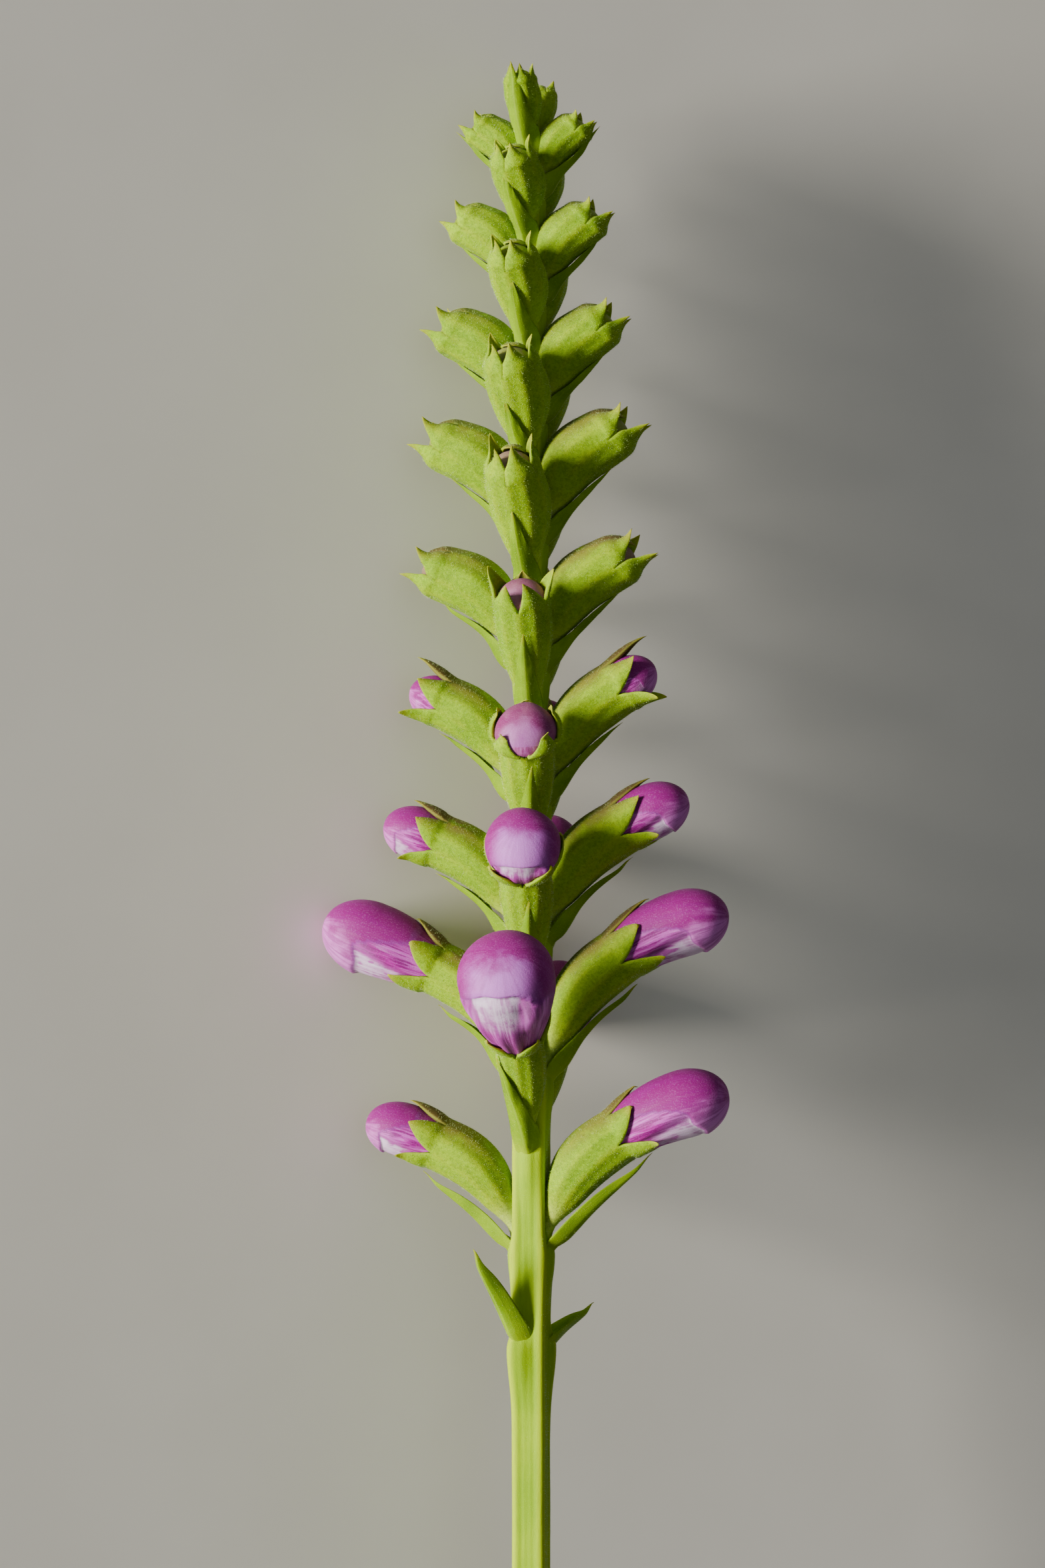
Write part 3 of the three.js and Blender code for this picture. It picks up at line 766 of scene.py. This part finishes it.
def bract(surface, place):
    """A keeled blade, thick at its foot, that lies along the outer side of its calyx."""
    seat = float(STEM_FACE * stem_taper(place["height"]) * BRACT_SEAT)
    stretch = [place["length"], place["end"]]
    at = branch(place["turn"], place["height"], seat, place["start"], [stretch])
    along = np.linspace(0, 1, BRACT_ROWS)[:, None]
    turn = ring(BRACT_RING)[None]
    across = np.cos(turn)
    half = BRACT_WIDE * place["broad"] / 2 * bract_share(along)
    boat = BRACT_BOAT * half * across**2
    twist = math.radians(place["twist"]) * along
    twist = twist + math.radians(place["roll"]) * smooth(along, 0, 0.4)
    wave = BRACT_WAVE * np.sin(9 * along + 4 * place["tone"]) * across**2
    x = -(boat + wave) * np.cos(twist) + half * across * np.sin(twist)
    z = half * across * np.cos(twist) + boat * np.sin(twist) + place["sway"] * along**1.5
    curl = BRACT_CURL * smooth(along, 0.75, 1) ** 2 * (1.2 if place["bare"] else 0.7)
    s = along * place["length"]
    points = at(s, x - curl, z)
    if not place["bare"]:
        points = against_calyx(points, place["bloom"], along)
    thick = BRACT_THICK * (0.6 + 0.9 * (1 - smooth(along, 0, 0.5)))
    keel = BRACT_KEEL * half * (1 - np.abs(across)) * smooth(along, 0, 0.2)
    keel = keel * smooth(1.05 - along, 0, 0.4)
    outward = at(s, 1, 0) - at(s, 0, 0)
    skin = keel + thick / 2 * np.sin(turn) * np.minimum(1, half / 0.2)
    surface.add(
        points + outward * skin[..., None], ring_faces(BRACT_ROWS, BRACT_RING),
        along=along, across=across, tone=place["tone"],
    )


class Wire:
    """A socket that can be used in a Python expression."""

    def __init__(self, shader, socket):
        self.shader, self.socket = shader, socket

    def _math(self, operation, first, second):
        return self.shader.node("ShaderNodeMath", dict(operation=operation), {0: first, 1: second})

    def __add__(self, other):
        return self._math("ADD", self, other)

    def __radd__(self, other):
        return self._math("ADD", other, self)

    def __sub__(self, other):
        return self._math("SUBTRACT", self, other)

    def __rsub__(self, other):
        return self._math("SUBTRACT", other, self)

    def __mul__(self, other):
        return self._math("MULTIPLY", self, other)

    def __rmul__(self, other):
        return self._math("MULTIPLY", other, self)

    def size(self):
        """The number without its sign."""
        return self._math("ABSOLUTE", self, 0)

    def soft(self, low, high):
        """0 below low, 1 above high, with soft ends."""
        return self.shader.node(
            "ShaderNodeMapRange", dict(interpolation_type="SMOOTHSTEP"),
            {"Value": self, "From Min": low, "From Max": high},
        )


class Shader:
    """A material's nodes."""

    def __init__(self, name):
        self.material = bpy.data.materials.new(name)
        self.material.use_nodes = True
        self.nodes = self.material.node_tree.nodes
        self.links = self.material.node_tree.links
        self.surface = self.nodes["Principled BSDF"]

    def put(self, socket, value):
        """Link or set a socket. A colour of three numbers gets its alpha."""
        if isinstance(value, Wire):
            self.links.new(value.socket, socket)
        elif isinstance(value, tuple) and len(value) == 3 and len(socket.default_value) == 4:
            socket.default_value = (*value, 1)
        else:
            socket.default_value = value

    def node(self, kind, settings, sockets, output=0):
        """Any node: its type, its settings, then the values or links of its sockets."""
        made = self.nodes.new(kind)
        for key, value in settings.items():
            setattr(made, key, value)
        for key, value in sockets.items():
            self.put(made.inputs[key], value)
        return Wire(self, made.outputs[output])

    def numbers(self, *names):
        """Numbers that the mesh holds for each vertex."""
        settings = [dict(attribute_name=name) for name in names]
        return [self.node("ShaderNodeAttribute", each, {}, "Fac") for each in settings]

    def place(self):
        return self.node("ShaderNodeTexCoord", {}, {}, "Object")

    def noise(self, scale, detail=2.0, rough=0.5, at=None):
        where = at if at is not None else self.place()
        sockets = {"Vector": where, "Scale": scale, "Detail": detail, "Roughness": rough}
        return self.node("ShaderNodeTexNoise", {}, sockets, "Fac")

    def vector(self, x, y, z):
        return self.node("ShaderNodeCombineXYZ", {}, {"X": x, "Y": y, "Z": z})

    def mix(self, share, first, second):
        """first where share is 0 and second where it is 1, for colours."""
        sockets = {"Factor": share, 6: first, 7: second}
        return self.node("ShaderNodeMix", dict(data_type="RGBA"), sockets, 2)

    def bump(self, height, strength):
        sockets = {"Height": height, "Distance": BUMP_DISTANCE, "Strength": strength}
        return self.node("ShaderNodeBump", {}, sockets)

    def finish(self, colour, rough, normal=None, **constants):
        """Feed the surface. constants are its other sockets, with _ for a space."""
        self.put(self.surface.inputs["Base Color"], colour)
        self.put(self.surface.inputs["Roughness"], rough)
        if normal is not None:
            self.put(self.surface.inputs["Normal"], normal)
        for name, value in constants.items():
            self.put(self.surface.inputs[name.replace("_", " ")], value)
        return self.material


def calyx_material():
    """Matt mottled green with a pale foot, yellow ribs, and brown on the upper side that is partly
    painted shade.
    """
    m = Shader("calyx_green")
    along, upper, edge, rib = m.numbers("along", "upper", "edge", "rib")
    tone, brown = m.numbers("tone", "brown")
    patches = m.noise(380, 3)
    green = m.mix(patches.soft(0.3, 0.7), (0.16, 0.3, 0.001), (0.25, 0.42, 0.002))
    green = m.mix((tone * 0.5 + 0.5) * 0.3, green, (0.3, 0.43, 0.001))
    base = m.mix((1 - along.soft(0, 0.5)) * 0.7, green, (0.38, 0.44, 0.001))
    pale_foot = m.mix((1 - along.soft(0.02, 0.3)) * 0.75, base, (0.48, 0.58, 0.12))
    on_rib = rib * along.soft(0.02, 0.3) * m.noise(700, 2).soft(0.3, 0.6)
    ribs = m.mix(on_rib * 0.4, pale_foot, (0.36, 0.42, 0.004))
    mottle = m.noise(5200, 3, 0.7)
    spots = m.mix((1 - mottle.soft(0.36, 0.54)) * 0.38, ribs, (0.07, 0.16, 0.003))
    pale = m.mix(mottle.soft(0.52, 0.7) * 0.42, spots, (0.34, 0.52, 0.01))
    fine = m.noise(14000, 2, 0.6)
    specks = m.mix(fine.soft(0.5, 0.72) * 0.4, pale, (0.4, 0.6, 0.05))
    # Painted shade as well as real browning: the brown on the upper side and on the tooth tips is
    # stronger on calyces that lie in the shade of other blooms.
    tan_and_shade = brown * upper.soft(0.2, 0.85) * along.soft(0.25, 0.95) * m.noise(900, 3).soft(0.15, 0.55)
    browned_and_shaded = m.mix(tan_and_shade * 1.1, specks, (0.15, 0.085, 0.035))
    top = brown * upper.soft(0.72, 0.92) * along.soft(0.98, 1.1)
    topped = m.mix(top * 1.2, browned_and_shaded, (0.11, 0.065, 0.025))
    points = m.mix(along.soft(1.2, 1.33) * 0.6, topped, (0.36, 0.32, 0.03))
    rims = m.mix(edge.soft(0.8, 1) * along.soft(1.0, 1.1) * 0.25, points, (0.42, 0.5, 0.05))
    return m.finish(
        rims, fine.soft(0.2, 0.9) * 0.2 + 0.55, m.bump(fine + mottle * 0.5, 0.8),
        Subsurface_Weight=0.1, Subsurface_Scale=0.0005, Subsurface_Radius=(0.7, 1.0, 0.1),
        Sheen_Weight=0.09, Sheen_Roughness=0.4, Sheen_Tint=(0.6, 0.9, 0.4), Specular_IOR_Level=0.08,
    )


def petal_material():
    """Magenta with darker veins along the bud, lilac on the outer side of the hood, a pale stained
    lip, and duskier and greener on the youngest buds."""
    m = Shader("corolla_purple")
    along, off, flank, outer, wing = m.numbers("along", "off", "flank", "outer", "wing")
    hood, white, fold, from_side = m.numbers("hood", "white", "fold", "side")
    big, tone, ripe, green = m.numbers("big", "tone", "ripe", "green")
    half = flank.soft(-0.1, 0.1)
    lines = m.noise(1, 3, 0.6, m.vector(off * 34, along * 3, tone * 9 + half * 5))
    broad = m.noise(1, 2, 0.5, m.vector(off * 9, along * 2.5, tone * 7 + half * 3))
    patches = m.noise(700, 3)

    pink = m.mix(broad.soft(0.3, 0.7), (0.34, 0.006, 0.26), (0.54, 0.08, 0.5))
    streaks = m.mix(lines.soft(0.49, 0.6) * 0.85, pink, (0.19, 0.001, 0.14))
    light = m.mix((1 - lines.soft(0.34, 0.48)) * 0.45, streaks, (0.68, 0.26, 0.68))
    top = m.mix((1 - outer.soft(-0.9, 0.1)) * 0.9, light, (0.15, 0.001, 0.1))

    blotch = m.noise(1300, 3).soft(0.42, 0.62) * 0.7 + (1 - along.soft(0.35, 0.75)) * 0.6
    stained = m.mix(blotch * lines.soft(0.3, 0.6), (0.74, 0.6, 0.78), (0.42, 0.09, 0.38))
    lip = m.mix(white * 0.95, top, stained)
    near = outer.soft(-0.1, 0.6) * along.soft(0.35, 0.75) * (1 - wing) * (1 - white) * big * 0.5
    pale_lip = m.mix(near * lines.soft(0.25, 0.55), lip, (0.6, 0.4, 0.7))

    spread = from_side * ((along - 0.75) * 1.2 + (broad - 0.5) * 0.8)
    spread = outer + (patches - 0.5) * 1.5 + spread
    lilac = spread.soft(-0.05, 0.65) * (1 - wing.soft(0.4, 0.95))
    pale_hood = m.mix(from_side, (0.5, 0.16, 0.6), (0.6, 0.17, 0.56))
    hood_colour = m.mix(lilac, (0.22, 0.002, 0.15), pale_hood)
    veins = lines.soft(0.45, 0.62) * (0.15 + from_side * 0.45)
    hood_streaked = m.mix(veins, hood_colour, (0.26, 0.006, 0.21))
    hooded = m.mix(hood.soft(0.2, 0.8) * 0.85, pale_lip, hood_streaked)

    folded = m.mix(fold.soft(0.1, 0.9) * (0.35 + patches * 0.8), hooded, (0.36, 0.03, 0.3))
    # Painted shade: a darker band along the hood's edge, where the hood overhangs the lip.
    hood_edge_shade_at = (hood * (1 - hood) * 4).soft(0.3, 1) * big
    hood_edge_shaded = m.mix(hood_edge_shade_at * 0.55, folded, (0.24, 0.03, 0.26))
    dusky = m.mix(patches.soft(0.35, 0.65), (0.2, 0.05, 0.09), (0.34, 0.15, 0.18))
    young = m.mix((1 - ripe) * 0.8, hood_edge_shaded, dusky)
    grain = m.noise(12000, 2, 0.6)
    # Painted highlight: fine pale specks stand for glints on the petal's tiny papillae.
    painted_glints = m.mix(grain.soft(0.5, 0.75) * 0.16, young, (0.72, 0.36, 0.74))
    unripe = m.mix(green, painted_glints, (0.2, 0.3, 0.004))
    return m.finish(
        unripe, 0.48 + patches * 0.15, m.bump(grain + lines * 0.35, 0.6),
        Subsurface_Weight=0.12, Subsurface_Scale=0.0006, Subsurface_Radius=(1.0, 0.3, 0.8),
        Sheen_Weight=0.06, Sheen_Roughness=0.4, Sheen_Tint=(1.0, 0.5, 1.0), Specular_IOR_Level=0.2,
    )


def stem_material():
    """Yellow green with fine threads along it, paler ridges and a pale cut end."""
    m = Shader("stem_green")
    corner, height = m.numbers("corner", "height")
    along_stem = {"Vector": m.place(), "Scale": (1.0, 0.08, 1.0)}
    threads = m.noise(7000, 3, 0.6, m.node("ShaderNodeMapping", {}, along_stem))
    patches = m.noise(260, 3)
    fine = m.noise(13000, 2, 0.6)
    green = m.mix(patches.soft(0.3, 0.7), (0.22, 0.38, 0.0), (0.3, 0.46, 0.0))
    ridged = m.mix(corner.soft(0.55, 0.9) * 0.75, green, (0.44, 0.56, 0.0))
    threaded = m.mix(threads.soft(0.45, 0.75) * 0.25, ridged, (0.14, 0.25, 0.001))
    specks = m.mix(fine.soft(0.5, 0.75) * 0.3, threaded, (0.34, 0.52, 0.004))
    cut = m.mix((height * -1).soft(*CUT_PALE), specks, (0.6, 0.66, 0.28))
    return m.finish(
        cut, 0.5 + fine * 0.16, m.bump(fine * 0.8 + threads * 0.6, 0.6),
        Subsurface_Weight=0.1, Subsurface_Scale=0.0006, Subsurface_Radius=(0.7, 1.0, 0.1),
        **GREEN_SHEEN,
    )


def bract_material():
    """Bright green leaf with veins along it, paler on its keel, foot and point."""
    m = Shader("bract_green")
    along, across, tone = m.numbers("along", "across", "tone")
    veins = m.noise(1, 3, 0.6, m.vector(across * 9, along * 2, tone * 8))
    fine = m.noise(12000, 2, 0.6)
    green = m.mix(m.noise(500, 3).soft(0.3, 0.7), (0.13, 0.24, 0.001), (0.21, 0.35, 0.002))
    veined = m.mix(veins.soft(0.5, 0.7) * 0.35, green, (0.28, 0.4, 0.01))
    keel = m.mix((1 - across.size().soft(0, 0.16)) * 0.4, veined, (0.34, 0.48, 0.04))
    low = m.mix((1 - along.soft(0, 0.3)) * 0.6, keel, (0.32, 0.43, 0.002))
    point = m.mix(along.soft(0.86, 1) * 0.6, low, (0.38, 0.34, 0.02))
    specks = m.mix(fine.soft(0.5, 0.75) * 0.25, point, (0.38, 0.54, 0.03))
    return m.finish(
        specks, 0.48 + fine * 0.16, m.bump(fine + veins * 0.8, 0.6),
        Subsurface_Weight=0.12, Subsurface_Scale=0.0005, Subsurface_Radius=(0.6, 1.0, 0.1),
        **GREEN_SHEEN,
    )


def down_material(name):
    """Pale green down on the green parts and pink down on the petals."""
    m = Shader(name)
    (pink,) = m.numbers("pink")
    green = m.mix(m.noise(900).soft(0.3, 0.7), (0.46, 0.62, 0.16), (0.68, 0.8, 0.38))
    return m.finish(m.mix(pink, green, (0.54, 0.18, 0.52)), 0.5)


def table_material():
    """A pale, slightly uneven table top."""
    m = Shader("table_pale")
    grain = m.noise(60, 4)
    return m.finish(m.mix(grain.soft(0.3, 0.7), (0.82, 0.78, 0.71), (0.86, 0.82, 0.75)), 0.85)


def settle(thing, nodes=()):
    """Let a piece ride on the spike and stand for its solids, which it hides."""
    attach(thing, "root")
    if nodes:
        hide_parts(*nodes)


def thicken(thing):
    """Give a calyx its wall, inward and thinner to the points of the teeth."""
    made = thing.modifiers.new("thickness", "SOLIDIFY")
    made.thickness = WALL * MM
    made.offset = -1
    made.use_even_offset = False
    made.vertex_group = "full"


def unit(vectors):
    """The vectors with a length of 1."""
    return vectors / np.linalg.norm(vectors, axis=1)[:, None]


def needles(surface, per_square_mm, length, draw):
    """Corners of needles that stand on a surface, four to a needle with its tip last, in mm."""
    points = lie(np.concatenate(surface.points)) / MM
    quads = np.array([face for face in surface.faces if len(face) == 4])
    corners = np.concatenate([quads[:, [0, 1, 2]], quads[:, [0, 2, 3]]])
    a, b, c = (points[corners[:, k]] for k in range(3))
    across = np.cross(b - a, c - a)
    area = np.linalg.norm(across, axis=1) / 2
    count = int(area.sum() * per_square_mm)
    pick = draw.choice(len(area), count, p=area / area.sum())
    u, v = draw.random((2, count, 1))
    u, v = np.where(u + v > 1, 1 - u, u), np.where(u + v > 1, 1 - v, v)
    foot = a[pick] + u * (b - a)[pick] + v * (c - a)[pick]
    normal = across[pick] / (2 * area[pick][:, None] + 1e-12)
    lean = unit(normal + draw.normal(0, NEEDLE_LEAN, (count, 3)))
    side = unit(np.cross(lean, draw.normal(0, 1, (count, 3))))
    other = np.cross(lean, side)
    foot = foot - NEEDLE_SUNK * normal
    tip = foot + lean * length * draw.uniform(0.6, 1.2, (count, 1))
    base = [
        foot + NEEDLE_RADIUS * (side * math.cos(w) + other * math.sin(w)) for w in NEEDLE_CORNERS
    ]
    return np.stack([*base, tip], 1).reshape(-1, 3)


def down(name, sources, material, seed):
    """Fine down as one mesh. sources are [surface, its down, 1 for pink or 0 for green]."""
    draw = np.random.default_rng(seed)
    parts = [needles(surface, *size, draw) for surface, size, _ in sources]
    pink = [np.full(len(part), source[2], np.float32) for part, source in zip(parts, sources)]
    vertices = np.concatenate(parts)
    vertices[:, 2] = np.maximum(vertices[:, 2], 0)
    first = 4 * np.arange(len(vertices) // 4)[:, None, None]
    needle = np.array([[0, 1, 3], [1, 2, 3], [2, 0, 3], [2, 1, 0]])
    triangles = (first + needle[None]).reshape(-1)
    mesh = bpy.data.meshes.new(name)
    mesh.vertices.add(len(vertices))
    mesh.vertices.foreach_set("co", (vertices * MM).astype(np.float32).ravel())
    mesh.loops.add(len(triangles))
    mesh.loops.foreach_set("vertex_index", triangles.astype(np.int32))
    mesh.polygons.add(len(triangles) // 3)
    mesh.polygons.foreach_set("loop_start", np.arange(0, len(triangles), 3, dtype=np.int32))
    mesh.update(calc_edges=True)
    made = mesh.attributes.new("pink", "FLOAT", "POINT")
    made.data.foreach_set("value", np.concatenate(pink))
    settle(link(name, mesh, material))


def make_stem():
    """The stem, the bracts on it and the down on both."""
    rod, leaves = Surface(), Surface()
    stem(rod)
    settle(rod.piece("square_stem", stem_material()), ["stem"])
    for place in bract_places():
        bract(leaves, place)
    settle(leaves.piece("bracts", bract_material()))
    sources = [(rod, STEM_DOWN, 0), (leaves, BRACT_DOWN, 0)]
    down("down_stem", sources, down_material("stem_down"), STEM_DOWN_SEED)


def make_blooms():
    """Row by row, the calyces, the buds and the down on both."""
    green, purple, pale = calyx_material(), petal_material(), down_material("bloom_down")
    for row in ROWS:
        calyces, buds = Surface(), Surface()
        here = [bloom for bloom in blooms() if bloom["row"] == row]
        for bloom in here:
            calyx(calyces, bloom)
            (young_bud if bloom["closed"] else corolla)(buds, bloom)
        calyx_nodes = [f"calyx_{row}_{bloom['index'] + 1}" for bloom in here]
        bud_nodes = [f"corolla_{row}_{bloom['index'] + 1}" for bloom in here if bloom["bud"]]
        made = calyces.piece(f"calyces_{row}", green)
        thicken(made)
        settle(made, calyx_nodes)
        settle(buds.piece(f"buds_{row}", purple), bud_nodes)
        sources = [(calyces, CALYX_DOWN, 0), (buds, BUD_DOWN, 1)]
        down(f"down_{row}", sources, pale, BLOOM_DOWN_SEED)


def make_camera():
    """A camera that looks straight at the front row."""
    camera = bpy.data.cameras.new("camera")
    camera.lens = LENS
    camera.sensor_width = SENSOR
    camera.clip_start, camera.clip_end = NEAR, FAR
    thing = link("camera", camera)
    where = lie([[VIEW_CENTRE[0], VIEW_CENTRE[1], VIEW_DISTANCE]])[0]
    thing.matrix_world = Matrix.Translation(Vector(where)) @ LAY.to_4x4()
    bpy.context.scene.camera = thing


def lamp(name, direction, size, power, colour):
    """A soft square light that faces the spike from a direction in the plant's frame."""
    light = bpy.data.lights.new(name, "AREA")
    light.shape = "SQUARE"
    light.size = size
    light.energy = power
    light.color = colour
    thing = link(name, light)
    toward = Vector(LAY @ Vector(direction)).normalized()
    thing.location = Vector(lie([VIEW_CENTRE])[0]) + toward * LAMP_DISTANCE
    thing.rotation_mode = "QUATERNION"
    thing.rotation_quaternion = toward.to_track_quat("Z", "Y")


def make_room():
    """The table, the two lights and the faint light of the room."""
    top = bpy.data.meshes.new("table")
    half = TABLE_HALF
    corners = [(-half, -half, 0), (half, -half, 0), (half, half, 0), (-half, half, 0)]
    top.from_pydata(corners, [], [(0, 1, 2, 3)])
    link("table", top, table_material())
    lamp("window", (-0.88, 0.08, 0.46), 1.0, 285.0, (1.0, 0.97, 0.88))
    lamp("fill", (0.3, 0.1, 1.0), 1.8, 6.5, (0.76, 0.9, 1.0))
    world = bpy.data.worlds.new("room")
    world.use_nodes = True
    light = world.node_tree.nodes["Background"]
    light.inputs["Color"].default_value = (1.0, 0.98, 0.94, 1)
    light.inputs["Strength"].default_value = ROOM_LIGHT
    bpy.context.scene.world = world


make_camera()
make_stem()
make_blooms()
make_room()
